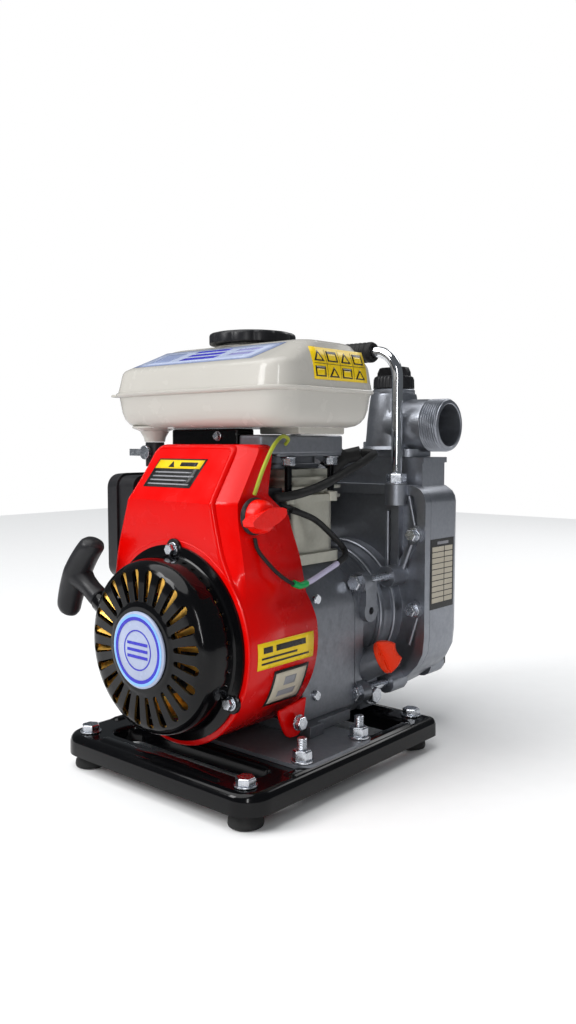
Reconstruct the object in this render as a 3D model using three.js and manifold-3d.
// Portable petrol water pump: a small air-cooled engine on a pressed steel base drives a self-priming
// centrifugal pump. Millimetres, +Z up. X runs across the machine, towards the delivery outlet, and +Y
// runs along the crankshaft, from the recoil starter at the front to the suction port at the back.
import * as THREE from "three";
import { mergeVertices } from "three/addons/utils/BufferGeometryUtils.js";
import Module from "manifold-3d";

const wasm = await Module();
wasm.setup();

// ---------------------------------------------------------------- driving dimensions
const GAP = 0.3; // between pieces that touch
const BASE = { x0: -104.5, x1: 113.5, y0: -115, y1: 127, top: 28, skirt: 12, sheet: 3, front: 22, rear: 8 };
const BASE_X = (BASE.x0 + BASE.x1) / 2; // the base sits a little to the right of the crank axis
const WINDOWS = [[-72, 88, -89, -60], [-94, 104, 48, 98]]; // openings in the base's deck: x0, x1, y0, y1
const WINDOW = { corner: 12, lip: 14 };
const FOOT = { x: 88.5, front: -98, rear: 113, radius: 13, neck: 10.5 };
const BED = { x: 103.5, front: -52, rear: 38, thick: 3 };
const MOUNT = { x: 94, front: -43, rear: 28 };
const CRANK_Z = 113; // crankshaft axis above the floor
const STROKE = 38;
const BORE = 27;
const ROD_LENGTH = 66;
const CASE = { half: 60, front: 4, rear: 74, top: 165, wall: 6 };
const COVER_REAR = 112;
const BARREL = { left: -34, right: 38, front: 12, rear: 80, top: 218 };
const HEAD_TOP = 245;
const SHROUD = { radius: 79, front: -80, rear: -2, top: 266, sheet: 2, knee: 222, lean: 0.6 };
const RECOIL = { flange: 76, drum: 67, bolts: 73, front: -112, badge: 29 };
const ROPE_RADIUS = 34; // of the rope's wrap on the pulley
const ROPE_Y = -97;
const EYELET = new THREE.Vector3(-66, ROPE_Y, 138.5);
const PULL = new THREE.Vector3(-0.85, 0, 0.527).normalize();
const TANK = { x0: -109, x1: 92, y0: -58, y1: 69, bottom: 279, seam: 308, top: 346 };
const CAP = { x: -4, y: 14, radius: 37, bottom: 348, top: 358, neck: 351, ceiling: 354 };
const PLATE = { half: 90, front: 138, rear: 147, top: 229 };
const CASING = { rear: 200, wall: 4 };
const THREAD = 23.9; // radius of a G 1 1/2 male thread
const OUTLET = { x: 36, y: 166, z: 283, end: 97 };
const SUCTION = { z: 190, end: 230 };
const HANDLE = { x: 60, y: 136, rod: 5, top: 350, bend: 24, boss: 230 };
const STUDS = [[60, 147], [-60, 147], [60, 50], [-60, 50]]; // long studs that tie the pump to the engine
const SWITCH = { y: -58, z: 213, wall: 63 };
const STRUTS = [[46, 2], [46, 57]]; // studs that carry the tank bracket beside the head

// ---------------------------------------------------------------- materials
const paint = (color, roughness, metalness) => new THREE.MeshStandardMaterial({
  color,
  roughness,
  metalness,
});
const MATERIAL = {
  frame_black: paint(0x0b0b0c, 0.25, 0.1),
  shroud_red: paint(0xd8120c, 0.25, 0.0),
  tank_white: paint(0xe9e3d6, 0.25, 0.0),
  cast_aluminium: paint(0x8d9196, 0.5, 0.8),
  barrel_silver: paint(0xb9bab0, 0.55, 0.5),
  zinc_steel: paint(0xb8bcc0, 0.3, 0.9),
  chrome: paint(0xd4d8da, 0.1, 1.0),
  gold_zinc: paint(0xb8902e, 0.4, 0.8),
  cast_iron: paint(0x55565a, 0.6, 0.7),
  black_plastic: paint(0x101114, 0.45, 0.0),
  black_rubber: paint(0x161616, 0.8, 0.0),
  red_plastic: paint(0xe3200f, 0.45, 0.0),
  orange_plastic: paint(0xf04a20, 0.45, 0.0),
  ground_wire: paint(0xb8b43a, 0.5, 0.0),
  rope: paint(0x2a2a2c, 0.9, 0.0),
  badge: paint(0xb9c0cc, 0.4, 0.0),
};

// ---------------------------------------------------------------- solids from three.js geometry
// A closed three.js geometry as a solid, with its faces turned outwards.
function solid(geometry) {
  const plain = geometry.index ? geometry.toNonIndexed() : geometry;
  const bare = new THREE.BufferGeometry().setAttribute("position", plain.getAttribute("position"));
  const merged = mergeVertices(bare, 1e-3);
  const corners = merged.index.array;
  const kept = [];
  for (let i = 0; i < corners.length; i += 3) {
    const [a, b, c] = [corners[i], corners[i + 1], corners[i + 2]];
    if (a !== b && b !== c && c !== a) kept.push(a, b, c);
  }
  const make = (triVerts) =>
    new wasm.Manifold(new wasm.Mesh({
      numProp: 3,
      vertProperties: merged.attributes.position.array,
      triVerts,
    }));
  const made = make(new Uint32Array(kept));
  if (made.volume() >= 0) return made;
  const turned = [];
  for (let i = 0; i < kept.length; i += 3) turned.push(kept[i], kept[i + 2], kept[i + 1]);
  return make(new Uint32Array(turned));
}

function join(...pieces) {
  return pieces.reduce((whole, piece) => whole.add(piece));
}

function cut(body, ...tools) {
  return tools.reduce((rest, tool) => rest.subtract(tool), body);
}

function box(x0, x1, y0, y1, z0, z1) {
  const geometry = new THREE.BoxGeometry(x1 - x0, y1 - y0, z1 - z0);
  return solid(geometry.translate((x0 + x1) / 2, (y0 + y1) / 2, (z0 + z1) / 2));
}

// A cylinder or cone from one point to another.
function rod(from, to, radius, sides = 24, endRadius = radius) {
  const start = new THREE.Vector3(...from);
  const along = new THREE.Vector3(...to).sub(start);
  const geometry = new THREE.CylinderGeometry(endRadius, radius, along.length(), sides);
  geometry.translate(0, along.length() / 2, 0);
  geometry.applyQuaternion(new THREE.Quaternion().setFromUnitVectors(
    new THREE.Vector3(0, 1, 0),
    along.normalize(),
  ));
  return solid(geometry.translate(start.x, start.y, start.z));
}

const rodX = (x0, x1, y, z, ...form) => rod([x0, y, z], [x1, y, z], ...form);
const rodY = (y0, y1, x, z, ...form) => rod([x, y0, z], [x, y1, z], ...form);
const rodZ = (z0, z1, x, y, ...form) => rod([x, y, z0], [x, y, z1], ...form);

// A profile of [radius, height] turned about the line along Y through x, z.
function turnedY(profile, sides, x = 0, z = CRANK_Z) {
  const points = profile.map(([radius, height]) => new THREE.Vector2(radius, height));
  return solid(new THREE.LatheGeometry(points, sides).translate(x, 0, z));
}

function turnedZ(profile, sides, x = 0, y = 0) {
  const points = profile.map(([radius, height]) => new THREE.Vector2(radius, height));
  return solid(new THREE.LatheGeometry(points, sides).rotateX(Math.PI / 2).translate(x, y, 0));
}

function turnedX(profile, sides, y, z) {
  const points = profile.map(([radius, height]) => new THREE.Vector2(radius, height));
  return solid(new THREE.LatheGeometry(points, sides).rotateZ(-Math.PI / 2).translate(0, y, z));
}

const PRISM_BASIS = {
  X: [new THREE.Vector3(0, 1, 0), new THREE.Vector3(0, 0, 1), new THREE.Vector3(1, 0, 0)],
  Y: [new THREE.Vector3(1, 0, 0), new THREE.Vector3(0, 0, 1), new THREE.Vector3(0, -1, 0)],
  Z: [new THREE.Vector3(1, 0, 0), new THREE.Vector3(0, 1, 0), new THREE.Vector3(0, 0, 1)],
};

// A flat shape pushed along one axis: its points are (y, z) for X, (x, z) for Y and (x, y) for Z.
function prism(axis, shape, low, high, curveSegments = 3) {
  const geometry = new THREE.ExtrudeGeometry(
    shape,
    { depth: high - low, bevelEnabled: false, curveSegments },
  );
  geometry.applyMatrix4(new THREE.Matrix4().makeBasis(...PRISM_BASIS[axis]));
  const start = { X: [low, 0, 0], Y: [0, high, 0], Z: [0, 0, low] }[axis];
  return solid(geometry.translate(...start));
}

function roundedRectangle(x0, x1, y0, y1, radius) {
  const shape = new THREE.Shape();
  shape.moveTo(x0 + radius, y0);
  shape.absarc(x1 - radius, y0 + radius, radius, -Math.PI / 2, 0);
  shape.absarc(x1 - radius, y1 - radius, radius, 0, Math.PI / 2);
  shape.absarc(x0 + radius, y1 - radius, radius, Math.PI / 2, Math.PI);
  shape.absarc(x0 + radius, y0 + radius, radius, Math.PI, Math.PI * 1.5);
  return shape;
}

function polygon(points) {
  return new THREE.Shape(points.map(([x, y]) => new THREE.Vector2(x, y)));
}

// A solid skinned over rings of equally many points, each ring an array of [x, y, z].
function loft(rings) {
  const count = rings[0].length;
  const corners = rings.flat();
  const index = [];
  for (let r = 0; r + 1 < rings.length; r++)
    for (let i = 0; i < count; i++) {
      const [a, b] = [r * count + i, r * count + ((i + 1) % count)];
      index.push(a, b, b + count, a, b + count, a + count);
    }
  for (const [ring, turned] of [[0, true], [rings.length - 1, false]]) {
    const flat = rings[ring];
    const middle = corners.push(flat.reduce((sum, p) => sum.map((v, k) => v + p[k] / count), [0, 0, 0])) - 1;
    for (let i = 0; i < count; i++) {
      const [a, b] = [ring * count + i, ring * count + ((i + 1) % count)];
      index.push(middle, turned ? b : a, turned ? a : b);
    }
  }
  const geometry = new THREE.BufferGeometry();
  geometry.setAttribute("position", new THREE.Float32BufferAttribute(corners.flat(), 3));
  return solid(geometry.setIndex(index));
}

// A round bar bent along a smooth line through the points.
function bar(points, radius, sides = 8, steps = 24) {
  const curve = new THREE.CatmullRomCurve3(points.map((p) => new THREE.Vector3(...p)));
  const section = new THREE.Shape();
  section.absarc(0, 0, radius, 0, Math.PI * 2);
  const options = { steps, extrudePath: curve, curveSegments: sides / 2, bevelEnabled: false };
  return solid(new THREE.ExtrudeGeometry(section, options));
}

// A hexagon head or nut along Z or Y.
const hexZ = (z0, z1, x, y, acrossFlats) => rodZ(z0, z1, x, y, acrossFlats / Math.sqrt(3), 6);
const hexY = (y0, y1, x, z, acrossFlats) => rodY(y0, y1, x, z, acrossFlats / Math.sqrt(3), 6);

const pump = new THREE.Group();

function add(name, material, body) {
  const { numProp, vertProperties, triVerts } = body.getMesh();
  const positions = new Float32Array((vertProperties.length / numProp) * 3);
  for (let i = 0; i * 3 < positions.length; i++)
    for (let k = 0; k < 3; k++) positions[i * 3 + k] = vertProperties[i * numProp + k];
  const geometry = new THREE.BufferGeometry();
  geometry.setAttribute("position", new THREE.BufferAttribute(positions, 3));
  geometry.setIndex(new THREE.BufferAttribute(new Uint32Array(triVerts), 1));
  geometry.computeVertexNormals();
  const mesh = new THREE.Mesh(geometry, MATERIAL[material]);
  mesh.name = name;
  pump.add(mesh);
}

// ---------------------------------------------------------------- base, feet, bed plate, mounting bolts
// The pressed base in plan: wide round corners at the front, tight ones at the rear.
function basePlan(inset) {
  const [x0, x1, y0, y1] = [BASE.x0 + inset, BASE.x1 - inset, BASE.y0 + inset, BASE.y1 - inset];
  const [front, rear] = [BASE.front - inset, BASE.rear - inset];
  const shape = new THREE.Shape();
  shape.moveTo(x0 + front, y0);
  shape.absarc(x1 - front, y0 + front, front, -Math.PI / 2, 0);
  shape.absarc(x1 - rear, y1 - rear, rear, 0, Math.PI / 2);
  shape.absarc(x0 + rear, y1 - rear, rear, Math.PI / 2, Math.PI);
  shape.absarc(x0 + front, y0 + front, front, Math.PI, Math.PI * 1.5);
  return shape;
}

function baseFrame() {
  const { top, skirt, sheet } = BASE;
  const pan = cut(prism("Z", basePlan(0), skirt, top), prism("Z", basePlan(sheet), 0, top - sheet));
  const window = ([x0, x1, y0, y1], grow) =>
    roundedRectangle(x0 - grow, x1 + grow, y0 - grow, y1 + grow, WINDOW.corner + grow);
  const lips = WINDOWS.map((plan) => prism("Z", window(plan, sheet), WINDOW.lip, top - 1, 2));
  const openings = WINDOWS.map((plan) => prism("Z", window(plan, 0), 0, top + 1, 2));
  const drilled = [
    [FOOT.x, FOOT.front], [FOOT.x, FOOT.rear], [MOUNT.x, MOUNT.front], [MOUNT.x, MOUNT.rear],
  ];
  const holes = [-1, 1].flatMap((side) =>
    drilled.map(([x, y]) => rodZ(0, top + 1, BASE_X + side * x, y, 4.6, 8)),
  );
  return cut(join(pan, ...lips), ...openings, ...holes);
}

// A rubber foot moulded round the shank of its flanged bolt.
function foot(x, y) {
  const underside = BASE.top - BASE.sheet - GAP;
  const rubber = [[0, 0], [FOOT.radius - 1.5, 0], [FOOT.radius, 2], [FOOT.radius, 6], [FOOT.neck, 9]];
  const body = turnedZ([...rubber, [FOOT.neck, underside], [0, underside]], 12, x, y);
  const head = BASE.top + GAP;
  return join(
    body,
    rodZ(underside - 4, head + 1, x, y, 4, 8),
    rodZ(head, head + 1.6, x, y, 8.5, 12),
    hexZ(head + 1, head + 6.5, x, y, 13),
  );
}

// A stud with its nut and washer above the bed plate and its bolt head under the base.
function mountBolt(x, y) {
  const plateTop = BASE.top + GAP + BED.thick + GAP;
  return join(
    rodZ(BASE.top - BASE.sheet - 4, plateTop + 19, x, y, 4, 8),
    hexZ(BASE.top - BASE.sheet - 5.5, BASE.top - BASE.sheet - GAP, x, y, 13),
    rodZ(plateTop, plateTop + 1.8, x, y, 8.5, 12),
    hexZ(plateTop + 1.5, plateTop + 9.5, x, y, 13),
  );
}

function bedPlate() {
  const low = BASE.top + GAP;
  const plan = roundedRectangle(BASE_X - BED.x, BASE_X + BED.x, BED.front, BED.rear, 10);
  const sheet = prism("Z", plan, low, low + BED.thick);
  const holes = [-1, 1].flatMap((side) =>
    [MOUNT.front, MOUNT.rear].map((y) =>
      rodZ(low - 1, low + BED.thick + 1, BASE_X + side * MOUNT.x, y, 4.6, 8)),
  );
  return cut(sheet, ...holes);
}

add("base_frame", "frame_black", baseFrame());
for (const [side, sign] of [["left", -1], ["right", 1]])
  for (const end of ["front", "rear"]) {
    add(`foot_${end}_${side}`, "black_rubber", foot(BASE_X + sign * FOOT.x, FOOT[end]));
    add(`mount_bolt_${end}_${side}`, "zinc_steel", mountBolt(BASE_X + sign * MOUNT.x, MOUNT[end]));
  }
add("engine_bed_plate", "zinc_steel", bedPlate());

// ---------------------------------------------------------------- engine: crankcase, barrel, head
const CASE_BOTTOM = BASE.top + GAP + BED.thick + GAP;

function caseOutline(inset) {
  const [half, top, bottom] = [CASE.half - inset, CASE.top - inset, CASE_BOTTOM + inset];
  return polygon([
    [-half + 8, bottom], [half - 8, bottom], [half, bottom + 10], [half, 128], [half - 8, 150],
    [half - 22, top], [22 - half, top], [8 - half, 150], [-half, 128], [-half, bottom + 10],
  ]);
}

function crankcase() {
  const block = prism("Y", caseOutline(0), CASE.front, CASE.rear);
  const sump = prism("Y", caseOutline(CASE.wall), CASE.front + CASE.wall, CASE.rear + 1);
  const feet = join(
    box(-72, 72, CASE.front - 5, CASE.front + 12, CASE_BOTTOM, CASE_BOTTOM + 9),
    box(-66, 66, CASE.front, CASE.rear - 14, CASE_BOTTOM, CASE_BOTTOM + 9),
  );
  const bearing = rodY(CASE.front - 5, CASE.front + 14, 0, CRANK_Z, 22, 20);
  return cut(
    join(cut(block, sump), feet, bearing),
    rodY(CASE.front - 10, CASE.front + 20, 0, CRANK_Z, 10.4, 16),
    rodZ(140, CASE.top + 5, 0, 44, BORE + 2.4, 20),
  );
}

function crankcaseCover() {
  const front = CASE.rear + GAP;
  const skirt = prism("Y", caseOutline(0), front, front + 12);
  const bell = rodY(front + 11, COVER_REAR, 0, CRANK_Z, 59, 30, 56);
  const ears = STUDS.map(([x, z]) => rodY(front + 2, front + 13, x, z, 9.5, 10));
  const webs = STUDS.map(([x, z]) => {
    const inner = Math.sign(x) * 40;
    const middle = CRANK_Z + (z - CRANK_Z) * 0.6;
    return box(Math.min(x, inner), Math.max(x, inner), front + 4, front + 22, middle - 9, middle + 9);
  });
  const ear = join(rodX(50, 66, 90, 121, 10, 16), box(50, 66, 82, 98, 119, 146));
  const oilNeck = rod(OIL.root, OIL.seat, 14, 20);
  const sump = box(-50, 58, front + 11, front + 36, CASE_BOTTOM + 1, CASE_BOTTOM + 30);
  const inside = join(
    rodY(front - 1, COVER_REAR - 7, 0, CRANK_Z, 50, 24),
    rodY(front - 1, COVER_REAR + 2, 0, CRANK_Z, 12, 16),
    rodX(48, 70, 90, 121, 3.4, 12),
    rod(OIL.root, OIL.mouth, 7.5, 16),
  );
  const holes = STUDS.map(([x, z]) => rodY(front, front + 40, x, z, 4.6, 8));
  const drain = rodX(DRAIN.x - 8, DRAIN.x + 1, DRAIN.y, DRAIN.z, 5.3, 12);
  return cut(join(skirt, bell, sump, ...ears, ...webs, ear, oilNeck), inside, drain, ...holes);
}

// The oil filler: a neck on the cover that leans out and up, and the winged plug in it.
const OIL = (() => {
  const root = new THREE.Vector3(48, 92, 66);
  const way = new THREE.Vector3(0.84, 0.3, 0.45).normalize();
  const at = (d) => root.clone().addScaledVector(way, d).toArray();
  return { way, at, root: at(0), seat: at(26), mouth: at(30) };
})();

const DRAIN = { x: 58, y: 100, z: CASE_BOTTOM + 12 };

function oilFillerCap() {
  const across = new THREE.Vector3(0, 0, 1).cross(OIL.way).normalize();
  const up = OIL.way.clone().cross(across);
  const wing = new THREE.Shape();
  wing.moveTo(-15, 0);
  wing.lineTo(15, 0);
  wing.quadraticCurveTo(13, 9, 7, 14);
  wing.quadraticCurveTo(0, 10, -7, 14);
  wing.quadraticCurveTo(-13, 9, -15, 0);
  const blade = new THREE.ExtrudeGeometry(wing, { depth: 6, bevelEnabled: false, curveSegments: 4 });
  blade.translate(0, 0, -3);
  blade.applyMatrix4(new THREE.Matrix4().makeBasis(up, OIL.way, up.clone().cross(OIL.way)));
  blade.translate(...OIL.at(29));
  return join(
    rod(OIL.at(8), OIL.at(27), 6, 12),
    rod(OIL.at(26 + GAP), OIL.at(30), 14.5, 20),
    solid(blade),
  );
}

function oilDrainBolt() {
  const { x, y, z } = DRAIN;
  return join(
    rodX(x - 6, x + 2, y, z, 5, 12),
    rodX(x + GAP, x + 2.5, y, z, 9, 16),
    rodX(x + 2, x + 8, y, z, 7.5, 6),
  );
}

function barrel() {
  const base = CASE.top + GAP;
  const [x0, x1, y0, y1] = [BARREL.left, BARREL.right, BARREL.front, BARREL.rear];
  const flange = prism("Z", roundedRectangle(x0 - 4, x1 + 4, y0 - 2, y1 - 2, 8), base, base + 9, 2);
  const core = prism("Z", roundedRectangle(x0 + 8, x1, y0 + 8, y1 - 4, 12), base, BARREL.top, 2);
  const fins = [0, 1, 2, 3].map((i) =>
    prism(
      "Z",
      roundedRectangle(x0 - 8, x1 - 8, y0 - 4, y1 + 2, 10),
      base + 15 + i * 9,
      base + 18 + i * 9,
      1,
    ),
  );
  return cut(join(flange, core, ...fins), rodZ(base - 1, BARREL.top + 1, 0, 44, BORE, 24));
}

function cylinderHead() {
  const [low, high] = [BARREL.top + GAP, HEAD_TOP];
  const [x0, x1, y0, y1] = [BARREL.left, BARREL.right, BARREL.front, BARREL.rear];
  const core = prism("Z", roundedRectangle(x0 + 6, x1 - 2, y0 + 6, y1, 10), low, high, 2);
  const fins = [0, 1, 2].map((i) =>
    prism("Z", roundedRectangle(x0 - 6, x1 + 4, y0 - 4, y1 + 4, 12), low + 2 + i * 8, low + 4.5 + i * 8, 1),
  );
  const inlet = rodX(x0 - 16, x0 + 10, 40, 232, 13, 12);
  const lugs = STRUTS.map(([x, y]) => join(
    rodZ(low, low + 8, x, y, 6, 10),
    box(x1 - 14, x + 3, Math.min(y - 3, 16), Math.max(y + 3, 24), low, low + 6),
  ));
  return cut(
    join(core, ...fins, inlet, ...lugs),
    rod(PLUG.at(0.7), PLUG.at(24), 10, 12),
    rodX(x0 - 17, x0 + 12, 40, 232, 8, 10),
    rod(PLUG.at(-14), PLUG.at(20), 7.4, 12),
    rodY(y1 - 10, y1 + 10, -22, 232, 9, 12),
  );
}

// The spark plug screws into the back of the head and leans up under the tank.
const PLUG = (() => {
  const seat = new THREE.Vector3(20, 74, 238);
  const way = new THREE.Vector3(0.3, 0.75, 0.59).normalize();
  return { way, at: (d) => seat.clone().addScaledVector(way, d).toArray() };
})();

function sparkPlug() {
  return join(
    rod(PLUG.at(-13), PLUG.at(2), 6.8, 16),
    rod(PLUG.at(1), PLUG.at(7), 8, 6),
    rod(PLUG.at(6), PLUG.at(24), 5, 12),
  );
}

const CAP_ARM = [43, 104, 258];

function sparkPlugCap() {
  const boot = join(rod(PLUG.at(9), PLUG.at(31), 8.5, 16), rod(PLUG.at(27), CAP_ARM, 6.5, 14));
  return cut(boot, rod(PLUG.at(0), PLUG.at(24 + GAP), 5.4, 12));
}

function rockerCover() {
  const low = HEAD_TOP + GAP;
  const lid = prism("Z", roundedRectangle(-30, 18, 18, 78, 12), low, 264, 2);
  const lip = prism("Z", roundedRectangle(-33, 21, 15, 81, 12), low, low + 4, 2);
  const plugRoom = rod(PLUG.at(-4), PLUG.at(40), 10, 12);
  return cut(join(lid, lip), plugRoom);
}

add("crankcase", "cast_aluminium", crankcase());
add("crankcase_cover", "cast_aluminium", crankcaseCover());
add("oil_filler_cap", "orange_plastic", oilFillerCap());
add("oil_drain_bolt", "zinc_steel", oilDrainBolt());
add("cylinder_barrel", "barrel_silver", barrel());
add("cylinder_head", "barrel_silver", cylinderHead());
add("rocker_cover", "cast_aluminium", rockerCover());
add("spark_plug", "zinc_steel", sparkPlug());
add("spark_plug_cap", "black_rubber", sparkPlugCap());

// ---------------------------------------------------------------- running gear
const WEB_RADIUS = 30;

function crankshaft() {
  const pin = CRANK_Z + STROKE / 2;
  return join(
    rodY(-82, 29, 0, CRANK_Z, 9.6, 16),
    rodY(57, PLATE.rear + 20, 0, CRANK_Z, 9.6, 16),
    rodY(28, 37, 0, CRANK_Z, WEB_RADIUS, 20),
    rodY(51, 60, 0, CRANK_Z, WEB_RADIUS, 20),
    rodY(36, 52, 0, pin, 8, 12),
  );
}

function piston() {
  const wrist = CRANK_Z + STROKE / 2 + ROD_LENGTH;
  const cup = cut(
    rodZ(wrist - 13, wrist + 16, 0, 44, BORE - 0.5, 24),
    rodZ(wrist - 14, wrist + 10, 0, 44, BORE - 4, 16),
  );
  return join(cup, rodY(44 - BORE + 2, 44 + BORE - 2, 0, wrist, 6, 10));
}

function flywheelFan() {
  const [back, front, rim] = [-22, -34, 58];
  const disc = turnedY(
    [[9.95, back], [rim, back], [rim, front], [22, front], [22, -66], [9.95, -66], [9.95, back]],
    24,
  );
  const blades = Array.from({ length: 12 }, (_, i) => {
    const blade = new THREE.BoxGeometry(30, 30, 2.6).translate(41, -48, 0);
    blade.rotateY(((i + 0.5) / 12) * Math.PI * 2);
    return solid(blade.translate(0, 0, CRANK_Z));
  });
  return join(disc, ...blades);
}

// The pressed starter cup in front of the fan, pierced so that it also screens the cooling air.
function starterCup() {
  const wall = [
    [9.95, -69], [54, -69], [57, -72], [57, -88], [55, -88], [55, -73], [52, -71], [9.95, -71],
    [9.95, -69],
  ];
  const cup = turnedY(wall, 24);
  const slots = Array.from({ length: 10 }, (_, i) => {
    const slot = new THREE.BoxGeometry(16, 10, 6).translate(40, -70, 0).rotateY((i / 10) * Math.PI * 2);
    return solid(slot.translate(0, 0, CRANK_Z));
  });
  return cut(cup, ...slots);
}

add("crankshaft", "cast_iron", crankshaft());
add("piston", "cast_aluminium", piston());
add("flywheel_fan", "cast_aluminium", flywheelFan());
add("starter_cup", "gold_zinc", starterCup());

// ---------------------------------------------------------------- fan shroud
// The right-hand edge of the shroud, from its top down to the round part, at its front face, behind the
// chamfer that runs round that face, and at its rear.
const SHROUD_RIGHT = {
  front: [[43, SHROUD.top], [42, SHROUD.knee], [46, 205], [52, 182]],
  side: [[60, SHROUD.top], [60, SHROUD.knee], [61, 205], [66, 180]],
  rear: [[62, SHROUD.top], [62, SHROUD.knee], [63, 205], [68, 180]],
};
const SHROUD_LEFT = [[-76, 146], [-70, 181], [-56, SHROUD.knee], [-50, 245], [-48, SHROUD.top]];

// One ring of the shroud's outline at depth y, drawn in by an inset.
function shroudRing(y, inset, right) {
  const radius = SHROUD.radius - inset;
  const arc = Array.from({ length: 21 }, (_, i) => {
    const angle = THREE.MathUtils.degToRad(28 - (i / 20) * 180);
    return [radius * Math.cos(angle), y, CRANK_Z + radius * Math.sin(angle)];
  });
  const low = (z) => Math.min(z, SHROUD.top - inset);
  return [
    ...arc, ...SHROUD_LEFT.map(([x, z]) => [x + inset, y, low(z)]),
    ...right.map(([x, z]) => [x - inset, y, low(z)]),
  ];
}

function shroudShell(inset) {
  const { front, side, rear } = SHROUD_RIGHT;
  const face = SHROUD.front + inset;
  return loft([
    shroudRing(face, inset, front), shroudRing(face + 8, inset, side),
    shroudRing(SHROUD.rear, inset, rear),
  ]);
}

// The upper front of the shroud leans back over the barrel: this wedge is what the lean takes away.
function leanWedge(inset) {
  const y0 = SHROUD.front + inset;
  const rise = 60;
  const shape = polygon([
    [y0 - 30, SHROUD.knee], [y0, SHROUD.knee],
    [y0 + rise * SHROUD.lean, SHROUD.knee + rise], [y0 - 30, SHROUD.knee + rise],
  ]);
  return prism("X", shape, -100, 100);
}

function fanShroud() {
  const outer = cut(shroudShell(0), leanWedge(0));
  const inner = cut(shroudShell(SHROUD.sheet), leanWedge(SHROUD.sheet));
  const open = inner.add(inner.translate([0, 6, 0]));
  const tab = box(60, 74, -24, -10, 38, 62).subtract(rodX(50, 80, -17, 47, 3.4, 12));
  const intake = rodY(SHROUD.front - 2, SHROUD.front + 4, 0, CRANK_Z, 63, 36);
  const switchHole = rodX(50, 80, SWITCH.y, SWITCH.z, 9.5, 16);
  const sideCut = prism(
    "X",
    polygon([[-34, 270], [-40, 228], [-17, 211], [-9, 177], [10, 130], [10, 270]]),
    -120,
    120,
  );
  return cut(join(outer, tab), open, intake, switchHole, sideCut);
}

add("fan_shroud", "shroud_red", fanShroud());

// ---------------------------------------------------------------- recoil starter
const RECOIL_BOLTS = [88, -29, 209].map((degrees) => {
  const angle = THREE.MathUtils.degToRad(degrees);
  return [RECOIL.bolts * Math.cos(angle), CRANK_Z + RECOIL.bolts * Math.sin(angle)];
});

function recoilCover() {
  const back = SHROUD.front - GAP;
  const shell = turnedY([
    [62, back], [RECOIL.flange, back], [RECOIL.flange, back - 2.2], [RECOIL.drum + 1, back - 2.2],
    [RECOIL.drum, back - 6], [RECOIL.drum, -101], [RECOIL.drum - 8, RECOIL.front], [34, RECOIL.front - 2],
    [0, RECOIL.front - 2], [0, RECOIL.front], [35, RECOIL.front], [RECOIL.drum - 8, RECOIL.front + 2.5],
    [RECOIL.drum - 2, -100.5], [RECOIL.drum - 2, back - 3], [62, back],
  ], 24);
  const slots = Array.from({ length: 24 }, (_, i) => {
    const slot = new THREE.BoxGeometry(22, 12, 4.6).translate(48.5, RECOIL.front, 0);
    return solid(slot.rotateY(((i + 0.5) / 24) * Math.PI * 2).translate(0, 0, CRANK_Z));
  });
  const post = rodY(RECOIL.front - 1, -89, 0, CRANK_Z, 6, 12);
  const onPull = (d) => EYELET.clone().addScaledVector(PULL, d).toArray();
  const bolts = RECOIL_BOLTS.map(([x, z]) => join(
    rodY(back - 2.2, back, x, z, 8, 12),
    hexY(back - 7.5, back - 2, x, z, 10),
  ));
  const throat = join(rod(onPull(-22), onPull(7), 3.6, 10), rod(onPull(-22), onPull(-10), 6, 10));
  return cut(join(cut(shell, ...slots), post, rod(onPull(-9), onPull(5), 9, 12), ...bolts), throat);
}

function recoilPulley() {
  const [front, back] = [ROPE_Y - 7, ROPE_Y + 7];
  return turnedY([
    [6.4, back], [ROPE_RADIUS + 4, back], [ROPE_RADIUS + 4, back - 2.5], [ROPE_RADIUS - 3, back - 3],
    [ROPE_RADIUS - 3, front + 3], [ROPE_RADIUS + 4, front + 2.5], [ROPE_RADIUS + 4, front],
    [6.4, front], [6.4, back],
  ], 28);
}

// The starter rope from the pulley, round the eyelet, to the knot inside the grip.
function starterRope() {
  const tangent = new THREE.Vector3(-26, ROPE_Y, CRANK_Z - 22);
  const inside = EYELET.clone().addScaledVector(PULL, -5);
  return join(
    rod(tangent.toArray(), inside.toArray(), 2, 8),
    rod(
      EYELET.clone().addScaledVector(PULL, -7).toArray(),
      EYELET.clone().addScaledVector(PULL, 12).toArray(),
      2,
      8,
    ),
  );
}

function starterGrip() {
  const at = (d) => EYELET.clone().addScaledVector(PULL, d);
  const across = new THREE.Vector3(0, 1, 0).cross(PULL).normalize();
  const stem = rod(at(5.5).toArray(), at(34).toArray(), 8, 16, 9.5);
  const ring = (d, wide, deep) =>
    Array.from({ length: 12 }, (_, i) => {
      const angle = (i / 12) * Math.PI * 2;
      const middle = at(40).addScaledVector(across, d);
      const bow = 0.0025 * d * d;
      return middle.addScaledVector(PULL, wide * Math.cos(angle) - bow)
        .add(new THREE.Vector3(0, deep * Math.sin(angle), 0)).toArray();
    });
  const sections = [
    [-37, 5, 6], [-34, 9, 9.5], [-22, 11, 11], [0, 11.5, 12], [22, 11, 11], [34, 9, 9.5], [37, 5, 6],
  ];
  const grip = loft(sections.map(([d, wide, deep]) => ring(d, wide, deep)));
  return cut(join(grip, stem), rod(at(4).toArray(), at(12.5).toArray(), 2.6, 8));
}

function recoilBadge() {
  const front = RECOIL.front - 2 - GAP;
  return turnedY([[0, front], [RECOIL.badge, front], [RECOIL.badge, front - 1],
    [RECOIL.badge - 1.5, front - 1.8],
    [0, front - 1.8], [0, front]], 36);
}

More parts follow.
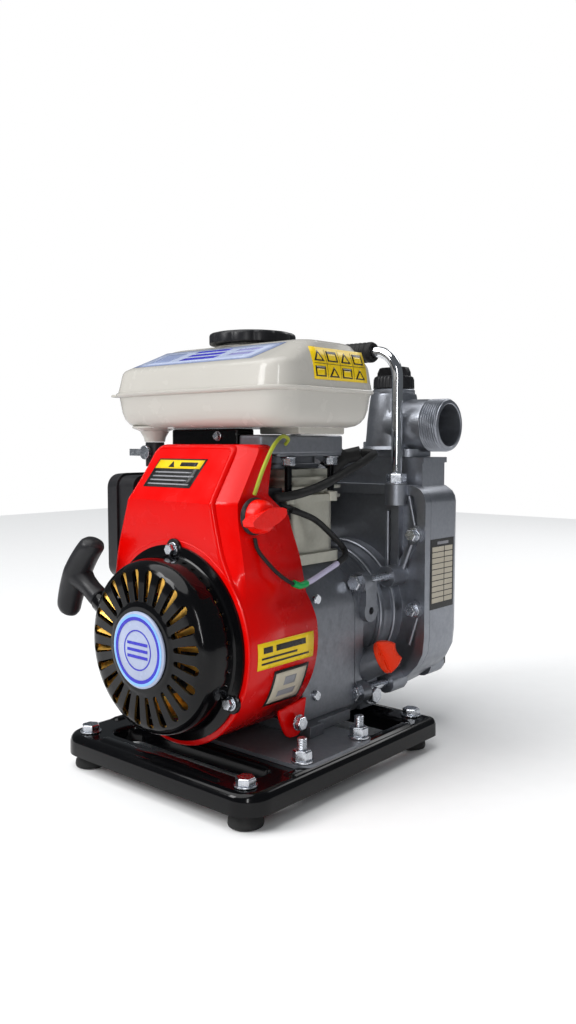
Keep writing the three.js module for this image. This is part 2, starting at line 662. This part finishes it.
add("recoil_cover", "frame_black", recoilCover());
add("recoil_badge", "badge", recoilBadge());
add("recoil_pulley", "black_plastic", recoilPulley());
add("starter_rope", "rope", starterRope());
add("starter_grip", "black_plastic", starterGrip());

// ---------------------------------------------------------------- fuel tank, cap and cock
// A rounded rectangle as a ring of points at height z, drawn in from the tank's plan on each side.
function tankRing(z, left, right, front, rear, radius) {
  const [x0, x1, y0, y1] = [TANK.x0 + left, TANK.x1 - right, TANK.y0 + front, TANK.y1 - rear];
  const middles = [[x1 - radius, y0 + radius, -90], [x1 - radius, y1 - radius, 0],
    [x0 + radius, y1 - radius, 90],
    [x0 + radius, y0 + radius, 180]];
  return middles.flatMap(([x, y, start]) =>
    Array.from({ length: 5 }, (_, i) => {
      const angle = THREE.MathUtils.degToRad(start + i * 22.5);
      return [x + radius * Math.cos(angle), y + radius * Math.sin(angle), z];
    }),
  );
}

function fuelTank() {
  const shell = loft([
    tankRing(TANK.bottom, 18, 18, 18, 18, 16),
    tankRing(TANK.bottom + 5, 8, 8, 8, 8, 20),
    tankRing(TANK.bottom + 14, 3, 3, 3, 3, 22),
    tankRing(TANK.seam - 2, 1, 1, 1, 1, 22),
    tankRing(TANK.seam - 1.5, -3, -3, -3, -3, 25),
    tankRing(TANK.seam + 1.5, -3, -3, -3, -3, 25),
    tankRing(TANK.seam + 2, 1, 1, 1, 1, 22),
    tankRing(TANK.seam + 18, 4.5, 3, 4, 4, 21),
    tankRing(TANK.seam + 24, 12, 5, 14, 9, 19),
    tankRing(TANK.top - 2, 33, 10, 37, 24, 15),
    tankRing(TANK.top, 40, 17, 44, 31, 11),
  ]);
  const neck = rodZ(TANK.top - 6, CAP.neck, CAP.x, CAP.y, 25, 24);
  const outlet = rodZ(COCK.top, TANK.bottom + 6, COCK.x, COCK.y, 9, 20, 12);
  const saddle = box(24, 66, -8, 50, TANK.bottom - 5, TANK.bottom + 4);
  const mouth = rodZ(TANK.bottom + 8, CAP.bottom + 8, CAP.x, CAP.y, 20, 20);
  const chamber = loft([
    tankRing(TANK.bottom + 3.2, 22, 22, 22, 22, 14),
    tankRing(TANK.bottom + 7.5, 11.5, 11.5, 11.5, 11.5, 18),
    tankRing(TANK.bottom + 15, 6.4, 6.4, 6.4, 6.4, 19),
    tankRing(TANK.seam + 17, 8.5, 7, 7.5, 7.5, 18),
    tankRing(TANK.seam + 22, 16.5, 9, 18, 13, 15),
    tankRing(TANK.top - 5, 36, 13.5, 40, 27, 12),
    tankRing(TANK.top - 3.2, 43, 20, 47, 34, 8),
  ]);
  return cut(
    join(shell, neck, outlet, saddle),
    chamber,
    mouth,
    rodZ(COCK.top - 1, TANK.bottom + 10, COCK.x, COCK.y, 4, 12),
  );
}

const COCK = { x: -76, y: -32, top: 268, bottom: 247 };

function fuelCap() {
  const base = CAP.bottom + GAP;
  const dish = turnedZ([[0, CAP.top], [28, CAP.top], [CAP.radius - 2.5, CAP.top - 2],
    [CAP.radius - 2.5, base],
    [27, base], [27, CAP.ceiling], [0, CAP.ceiling], [0, CAP.top]], 24, CAP.x, CAP.y);
  const lobes = Array.from({ length: 12 }, (_, i) => {
    const angle = (i / 12) * Math.PI * 2;
    const [x, y] = [CAP.x + (CAP.radius - 4) * Math.cos(angle), CAP.y + (CAP.radius - 4) * Math.sin(angle)];
    return rodZ(base, CAP.top - 2, x, y, 4, 6);
  });
  const plug = rodZ(CAP.bottom - 6, CAP.top - 3, CAP.x, CAP.y, 19, 20);
  return cut(join(dish, ...lobes), rodZ(base - 1, CAP.ceiling, CAP.x, CAP.y, 26, 24)).add(plug);
}

function fuelCapGasket() {
  const [low, high] = [CAP.neck + GAP, CAP.ceiling - GAP];
  return cut(rodZ(low, high, CAP.x, CAP.y, 24, 24), rodZ(low - 1, high + 1, CAP.x, CAP.y, 20, 24));
}

function fuelCock() {
  const body = rodZ(COCK.bottom, COCK.top - GAP, COCK.x, COCK.y, 8, 20);
  const spout = rodX(COCK.x + 4, COCK.x + 18, COCK.y, COCK.bottom + 6, 3, 12);
  return cut(join(body, spout), rodY(COCK.y - 9, COCK.y - 4, COCK.x, COCK.bottom + 12, 3.4, 12));
}

function fuelCockLever() {
  const [y, z] = [COCK.y - 8 - GAP, COCK.bottom + 12];
  return join(
    rodY(y - 4, y + 4, COCK.x, z, 3, 12),
    rodY(y - 4, y - GAP, COCK.x, z, 6, 16),
    box(COCK.x - 20, COCK.x, y - 3.5, y - 1, z - 3, z + 3),
  );
}

function fuelHose() {
  const z = COCK.bottom + 6;
  const [x, y, top] = [CARB.x, CARB.y - 19, CARB.z + 12];
  return bar([[COCK.x + 18.5, COCK.y, z], [COCK.x + 22, COCK.y, z], [COCK.x + 27, COCK.y + 8, z + 1],
    [COCK.x + 22, y - 14, z + 4], [x, y - 5, top + 7], [x, y, top + 4], [x, y, top + 0.6]], 3.2, 8, 16);
}

// ---------------------------------------------------------------- carburettor, air filter and muffler
const CARB = { x: -64, y: 40, z: 232 };
const FILTER = { left: -124, split: -104, right: -84, y0: -52, y1: 54, z0: 147, z1: 241 };

function carburettor() {
  const { x, y, z } = CARB;
  const throat = rodX(FILTER.right + GAP, BARREL.left - 16 - GAP, y, z, 12, 20);
  const body = box(x - 10, x + 9, y - 14, y + 14, z - 13, z + 13);
  const bowl = rodZ(z - 34, z - 10, x, y, 13, 20);
  const inlet = rodZ(z - 4, z + 12, x, y - 19, 3, 12).add(box(x - 4, x + 4, y - 22, y - 12, z - 6, z + 4));
  const screw = rodY(y + 13, y + 20, x, z - 4, 3, 10);
  return cut(
    join(throat, body, bowl, inlet, screw),
    rodX(-120, -20, y, z, 8, 16),
    rodZ(z + 8, z + 20, x, y + 2, 2.6, 12),
  );
}

function chokeLever() {
  const { x, y, z } = CARB;
  return join(
    rodZ(z + 9, z + 18, x, y + 2, 2.2, 12),
    box(x - 3, x + 3, y - 1, y + 30, z + 13.5 + GAP, z + 16),
  );
}

function airFilterBase() {
  const { split, right, y0, y1, z0, z1 } = FILTER;
  const tray = prism("X", roundedRectangle(y0 + 2, y1 - 2, z0 + 2, z1 - 2, 10), split + GAP, right, 4);
  const room = prism("X", roundedRectangle(y0 + 5, y1 - 5, z0 + 5, z1 - 5, 8), split - 1, right - 3, 4);
  return cut(tray, room, rodX(right - 8, right + 2, CARB.y, CARB.z - 6, 8, 16));
}

function airFilterCover() {
  const { left, split, y0, y1, z0, z1 } = FILTER;
  const rings = [[split, 0, 12], [left + 6, 1, 12], [left, 8, 10]].map(([x, inset, radius]) => {
    const outline = roundedRectangle(y0 + inset, y1 - inset, z0 + inset, z1 - inset, radius);
    return outline.getPoints(3).slice(0, -1).map((p) => [x, p.x, p.y]);
  });
  const room = prism("X", roundedRectangle(y0 + 4, y1 - 4, z0 + 4, z1 - 4, 10), left + 9, split + 1, 4);
  return cut(loft(rings), room);
}

function muffler() {
  const shape = roundedRectangle(-76, -14, 178, 252, 12);
  const can = prism("Y", shape, 88, 124, 2);
  const seam = prism("Y", roundedRectangle(-78, -12, 176, 254, 13), 104, 107, 2);
  const pipe = rodY(BARREL.rear - 4, 90, -22, 232, 8.5, 12);
  const tail = rodX(-88, -70, 110, 192, 8, 12);
  return cut(join(can, seam, pipe, tail), rodX(-90, -72, 110, 192, 6, 12));
}

add("fuel_tank", "tank_white", fuelTank());
add("fuel_cap", "black_plastic", fuelCap());
add("fuel_cap_gasket", "black_rubber", fuelCapGasket());
add("fuel_cock", "black_plastic", fuelCock());
add("fuel_cock_lever", "zinc_steel", fuelCockLever());
add("fuel_hose", "black_rubber", fuelHose());
add("carburettor", "cast_aluminium", carburettor());
add("choke_lever", "black_plastic", chokeLever());
add("air_filter_base", "black_plastic", airFilterBase());
add("air_filter_cover", "black_plastic", airFilterCover());
add("muffler", "cast_iron", muffler());

// The tank's bracket: a strap behind the shroud and a box beside the rocker cover, on two studs.
function tankBracket() {
  const strap = box(-52, 50, -34, -14, 263, TANK.bottom - GAP);
  const beam = box(24, 50, -16, 71, 256, TANK.bottom - 5 - GAP);
  const legs = STRUTS.map(([x, y]) => join(
    rodZ(BARREL.top + 8.6 + GAP, 258, x, y, 3, 10),
    hexZ(250, 256.5, x, y, 10),
  ));
  return join(strap, beam, ...legs);
}

add("tank_bracket", "cast_aluminium", tankBracket());

// ---------------------------------------------------------------- pump
// The casing's outline: straight sides, rounded top corners, and a bottom that follows the volute.
const PUMP_FLANK = [
  [90, 92], [88.5, 77], [83, 66], [75, 57], [65, 49], [53, 41], [40, 33], [28, 28], [14, 24.5],
];

function pumpOutline(inset) {
  const radius = Math.max(16 - inset, 4);
  const [half, top] = [PLATE.half - inset, PLATE.top - inset];
  const corner = [0, 22.5, 45, 67.5, 90].map((degrees) => {
    const angle = THREE.MathUtils.degToRad(degrees);
    return [half - radius + radius * Math.cos(angle), top - radius + radius * Math.sin(angle)];
  });
  const shrink = 1 - inset / PLATE.half;
  const flank = PUMP_FLANK.map(([x, z]) => [x * shrink, CRANK_Z + (z - CRANK_Z) * shrink]);
  const right = [...flank.reverse(), ...corner];
  const left = right.map(([x, z]) => [-x, z]).reverse();
  return polygon([...right, ...left]);
}

const PLATE_BOLTS = [[80, 185], [80, 117], [-80, 185], [-80, 117], [44, 47], [-44, 47]];

// Bosses, ribs and collar in one casting that ties the pump to the engine and carries the handle.
function adapterPlate() {
  const { front, rear, top } = PLATE;
  const plate = prism("Y", pumpOutline(0), front + 4, rear);
  const rim = cut(
    prism("Y", pumpOutline(0), front, front + 5),
    prism("Y", pumpOutline(9), front - 1, front + 6),
  );
  const collar = rodY(COVER_REAR + GAP, front + 5, 0, CRANK_Z, 58, 30, 64);
  const bosses = STUDS.map(([x, z]) => rodY(front - 18, front + 5, x, z, 10, 10));
  const bolts = PLATE_BOLTS.map(([x, z]) => rodY(front - 3, front + 5, x, z, 8.5, 10));
  const handleBosses = [-1, 1].map((side) => {
    const x = side * HANDLE.x;
    return join(
      rodZ(HANDLE.boss - 19, HANDLE.boss, x, HANDLE.y, 10.5, 14),
      box(x - 4, x + 4, front - 4, front + 5, 147, HANDLE.boss - 10),
      prism(
        "Y",
        polygon([[side * 58, 150], [side * 64, 150], [side * 82, 182], [side * 76, 182]]),
        front - 2,
        front + 5,
      ),
    );
  });
  const shaftHole = rodY(COVER_REAR - 5, rear + 5, 0, CRANK_Z, 14, 16);
  const room = rodY(COVER_REAR - 1, front - 4, 0, CRANK_Z, 50, 24);
  const studHoles = STUDS.map(([x, z]) => rodY(front - 19, front - 4, x, z, 4.4, 8));
  const rodHoles = [-1, 1].map((side) =>
    rodZ(HANDLE.boss - 16, top + 20, side * HANDLE.x, HANDLE.y, 5.6, 8));
  return cut(
    join(plate, rim, collar, ...bosses, ...bolts, ...handleBosses),
    shaftHole,
    room,
    ...studHoles,
    ...rodHoles,
  );
}

function pumpCasing() {
  const [front, rear] = [PLATE.rear + GAP, CASING.rear];
  const ring = (y, inset) => pumpOutline(inset).getPoints(1).map((p) => [p.x, y, p.y]);
  const shell = loft([ring(front, 0), ring(rear - 12, 0), ring(rear - 5, 2.5), ring(rear, 9)]);
  const room = loft([ring(front - 1, CASING.wall), ring(rear - 13, CASING.wall), ring(rear - 4, 9)]);
  const deck = box(-52, 80, 148, 186, PLATE.top - 5, 250);
  const deckLip = box(-54, 81.5, 147.5, 187.5, 249, 254);
  const riser = rodZ(PLATE.top - 20, 256, OUTLET.x, OUTLET.y, 15.5, 24);
  const suctionHole = rodY(rear - 20, rear + 5, 0, SUCTION.z, 20, 20);
  const drainBoss = rodY(rear - 22, rear + 2, 62, 56, 11, 16);
  const drainHole = rodY(rear - 26, rear + 4, 62, 56, 6.4, 16);
  return cut(join(cut(shell, room), deck, deckLip, drainBoss), riser, suctionHole, drainHole);
}

function volute() {
  const [front, back] = [PLATE.rear + GAP, 172];
  const scroll = turnedY(
    [[20, back], [52, back], [52, front], [48, front], [48, back - 4], [20, back - 4], [20, back]],
    28,
  );
  return cut(scroll, box(30, 56, front + 3, back - 6, CRANK_Z, CRANK_Z + 24));
}

function impeller() {
  const [front, back] = [PLATE.rear + 3, 166];
  const disc = turnedY(
    [[9.95, front], [44, front], [44, front + 3], [16, front + 5], [14, back], [9.95, back], [9.95, front]],
    24,
  );
  const vanes = Array.from({ length: 5 }, (_, i) => {
    const shape = new THREE.Shape();
    shape.moveTo(13, 0);
    shape.quadraticCurveTo(30, 2, 39, 17);
    shape.lineTo(36.5, 19);
    shape.quadraticCurveTo(27, 6, 12, 4);
    const vane = new THREE.ExtrudeGeometry(
      shape,
      { depth: back - front - 5, bevelEnabled: false, curveSegments: 3 },
    );
    vane.applyMatrix4(new THREE.Matrix4().makeBasis(...PRISM_BASIS.Y)).translate(0, back - 3, 0);
    return solid(vane.rotateY((i / 5) * Math.PI * 2).translate(0, 0, CRANK_Z));
  });
  return join(disc, ...vanes);
}

// A male pipe thread drawn as crests along the barrel, as [radius, height] pairs from the root out.
function threadProfile(start, end, pitch = 2.31, root = THREAD - 1.4) {
  const turns = Math.floor((end - start) / pitch);
  const starts = Array.from({ length: turns }, (_, i) => start + i * pitch);
  return starts.flatMap((low) => [[root, low], [THREAD, low + pitch / 2]]);
}

function suctionPort() {
  const back = CASING.rear + GAP;
  const thread = threadProfile(SUCTION.end - 11, SUCTION.end - 2);
  const pipe = turnedY([[19.5, back], [31, back], [31, back + 7], [22.5, back + 9], ...thread,
    [22, SUCTION.end],
    [19.5, SUCTION.end], [19.5, back]], 20, 0, SUCTION.z);
  const ears = [45, 135, 225, 315].map((degrees) => {
    const angle = THREE.MathUtils.degToRad(degrees);
    const [x, z] = [31 * Math.cos(angle), SUCTION.z + 31 * Math.sin(angle)];
    return join(rodY(back, back + 7, x, z, 6.5, 8), hexY(back + 6, back + 11.5, x, z, 10));
  });
  return cut(join(pipe, ...ears), rodY(back - 5, SUCTION.end + 5, 0, SUCTION.z, 19.5, 20));
}

// The rubber non-return flap hangs inside the casing against the suction hole.
function checkValveFlap() {
  const back = CASING.rear - 4 - 6;
  const disc = rodY(back - 4, back, 0, SUCTION.z, 23, 28);
  const strap = box(-9, 9, back - 3, back - 0.5, SUCTION.z + 16, FLAP_PIVOT);
  return join(disc, strap, rodX(-11, 11, back - 2, FLAP_PIVOT, 2, 12));
}

const FLAP_PIVOT = SUCTION.z + 26;

function dischargeElbow() {
  const { x, y, z, end } = OUTLET;
  const low = 254 + GAP;
  const flange = prism("Z", roundedRectangle(x - 34, x + 34, y - 20, y + 20, 12), low, low + 7, 2);
  const riser = turnedZ([[0, low], [26, low], [25, 275], [22, 300], [21, 313], [0, 313]], 20, x, y);
  const lugs = [-1, 1].map((side) => rodZ(low, low + 12, x + side * 28, y, 6.5, 6));
  const thread = threadProfile(end - 14, end - 2);
  const pipe = turnedX([[0, x], [23.5, x], [23.2, end - 24], [22.5, end - 17], ...thread, [22, end],
    [0, end]], 24, y, z);
  const seat = rodZ(312, 317, x, y, 19, 20);
  return cut(
    join(flange, riser, ...lugs, pipe, seat),
    rodX(x, end + 5, y, z, 19, 16),
    rodZ(low - 1, 300, x, y, 18, 16),
    rodZ(299, 320, x, y, 14.6, 16),
  );
}

function fillerPlug() {
  const { x, y } = OUTLET;
  const seat = 317 + GAP;
  return join(
    rodZ(302, seat + 1, x, y, 13.6, 16),
    rodZ(seat, 329, x, y, 19.5, 24, 18.5),
    prism("Y", polygon([[x - 17, 327], [x + 17, 327], [x + 14, 338], [x - 14, 338]]), y - 3.5, y + 3.5),
  );
}

function drainPlug() {
  const seat = CASING.rear + 2 + GAP;
  return join(
    rodY(seat - 18, seat + 1, 62, 56, 6, 16),
    rodY(seat, seat + 3, 62, 56, 10, 18),
    hexY(seat + 2, seat + 9, 62, 56, 14),
  );
}

add("adapter_plate", "cast_aluminium", adapterPlate());
add("pump_casing", "cast_aluminium", pumpCasing());
add("volute", "cast_iron", volute());
add("impeller", "cast_iron", impeller());
add("suction_port", "cast_aluminium", suctionPort());
add("check_valve_flap", "black_rubber", checkValveFlap());
add("discharge_elbow", "cast_aluminium", dischargeElbow());
add("filler_plug", "black_plastic", fillerPlug());
add("drain_plug", "black_plastic", drainPlug());

// ---------------------------------------------------------------- carrying handle
function handleRod() {
  const { x, y, top, bend, boss } = HANDLE;
  const corner = bend * (1 - Math.SQRT1_2);
  const half = [[x, y, boss - 15], [x, y, boss + 20], [x, y, top - bend * 2], [x, y, top - bend],
    [x - corner, y, top - corner], [x - bend, y, top], [x - bend * 1.6, y, top]];
  const points = [...half, ...half.map(([px, py, pz]) => [-px, py, pz]).reverse()];
  return bar(points, HANDLE.rod, 10, 28);
}

function handleGrip() {
  const { y, top } = HANDLE;
  return cut(rodX(-34, 34, y, top, 9.5, 20), rodX(-36, 36, y, top, HANDLE.rod + 0.5, 16));
}

function handleNut(side) {
  const { x, y, boss } = HANDLE;
  return cut(
    hexZ(boss + GAP, boss + 9, side * x, y, 16),
    rodZ(boss - 1, boss + 12, side * x, y, HANDLE.rod + GAP, 16),
  );
}

add("handle_rod", "chrome", handleRod());
add("handle_grip", "black_rubber", handleGrip());
add("handle_nut_left", "zinc_steel", handleNut(-1));
add("handle_nut_right", "zinc_steel", handleNut(1));

// ---------------------------------------------------------------- ignition and stop switch
function ignitionCoil() {
  return join(
    box(38, 52, -30, -12, 212, 232),
    box(34, 50, -36, -6, 206, 213),
    box(20, 44, -12, 7.7, 205, 212),
  );
}

function ignitionLead() {
  const [x, y, z] = CAP_ARM;
  return bar([[52.8, -21, 225], [56, -21, 225], [59.5, -9, 226], [60.5, 14, 229.6], [59.5, 41, 236],
    [58.5, 62, 242.6], [59, 82, 249], [59.5, y - 8, z - 3], [56, y + 1.5, z - 0.6],
    [x + 6, y + 1.6, z + 0.4], [x + 1.2, y + 0.7, z + 0.2]], 3.6, 8, 24);
}

function stopSwitchBody() {
  const { y, z, wall } = SWITCH;
  return join(rodX(wall + GAP, wall + 4, y, z, 14, 24), rodX(wall - 18, wall + 1, y, z, 8.8, 16));
}

function stopSwitchKnob() {
  const { y, z, wall } = SWITCH;
  const low = wall + 4 + GAP;
  const cap = rodX(low, low + 11, y, z, 12.5, 24, 10);
  const wing = new THREE.Shape();
  wing.moveTo(-17, -3);
  wing.quadraticCurveTo(0, -9, 17, -3);
  wing.lineTo(17, 2);
  wing.quadraticCurveTo(0, 8, -17, 2);
  const bladeSolid = prism("X", wing, low + 2, low + 14, 5);
  return join(cap, bladeSolid.translate([0, y, z]));
}

function groundWire() {
  return bar([[51.9, -8, 266], [58, -12, 270], [64, -26, 272], [69, -42, 264], [70, -54, 248],
    [68, -58, 236],
    [65, -58, 229.2]], 1.5, 6, 16);
}

function stopWire() {
  return bar([[65, -58, 196.8], [67, -55, 186], [74, -40, 168], [77, -20, 158], [77, 0, 162], [76, 28, 170],
    [67, 50, 173], [57, 61, 178], [54, 46, 192], [55, 26, 204], [56, 6, 211], [53, -6, 216],
    [47.5, -8.6, 218.6],
    [47, -11.4, 219]], 1.5, 6, 30);
}

add("ignition_coil", "black_plastic", ignitionCoil());
add("ignition_lead", "black_rubber", ignitionLead());
add("stop_switch_body", "black_plastic", stopSwitchBody());
add("stop_switch_knob", "red_plastic", stopSwitchKnob());
add("ground_wire", "ground_wire", groundWire());
add("stop_wire", "black_rubber", stopWire());

// The origin is on the floor under the middle of the whole machine.
const extent = new THREE.Box3().setFromObject(pump);
const middle = extent.getCenter(new THREE.Vector3());
pump.position.set(-middle.x, -middle.y, -extent.min.z);

export default pump;
